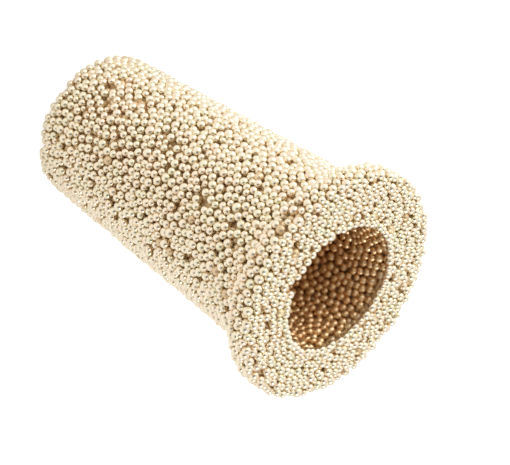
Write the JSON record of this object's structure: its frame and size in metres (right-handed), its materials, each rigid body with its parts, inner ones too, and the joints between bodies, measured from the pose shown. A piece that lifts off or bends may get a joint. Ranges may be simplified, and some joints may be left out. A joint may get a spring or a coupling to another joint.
{
  "type": "sintered bronze silencer element",
  "caption": "Flanged, closed-end thimble of fused bronze beads that silences and filters exhausting compressed air.",
  "frame": {"origin": "middle of the closed end's outer face", "axes": "+Z along the axis, from the closed end to the open mouth; X and Y are across it and equivalent"},
  "size_m": [0.018, 0.018, 0.0268],
  "materials": {
    "outer_beads": "satin, pale tin-bronze beads",
    "bore_beads": "satin, browner tin-bronze beads",
    "inner_beads": "matt, porous bronze in shade"
  },
  "bodies": {
    "root": {"end_face_beads": "outer_beads", "end_edge_beads": "outer_beads", "barrel_beads_1": "outer_beads", "barrel_beads_2": "outer_beads", "barrel_beads_3": "outer_beads", "barrel_beads_4": "outer_beads", "barrel_beads_5": "outer_beads", "barrel_beads_6": "outer_beads", "neck_beads": "outer_beads", "flange_rim_beads": "outer_beads", "flange_face_beads": "outer_beads", "mouth_edge_beads": "bore_beads", "bore_beads_1": "bore_beads", "bore_beads_2": "bore_beads", "bore_beads_3": "bore_beads", "bore_beads_4": "bore_beads", "bore_floor_beads": "bore_beads", "inner_end_beads": "inner_beads", "inner_corner_beads": "inner_beads", "inner_barrel_beads": "inner_beads", "inner_flange_beads": "inner_beads"}
  },
  "joints": []
}
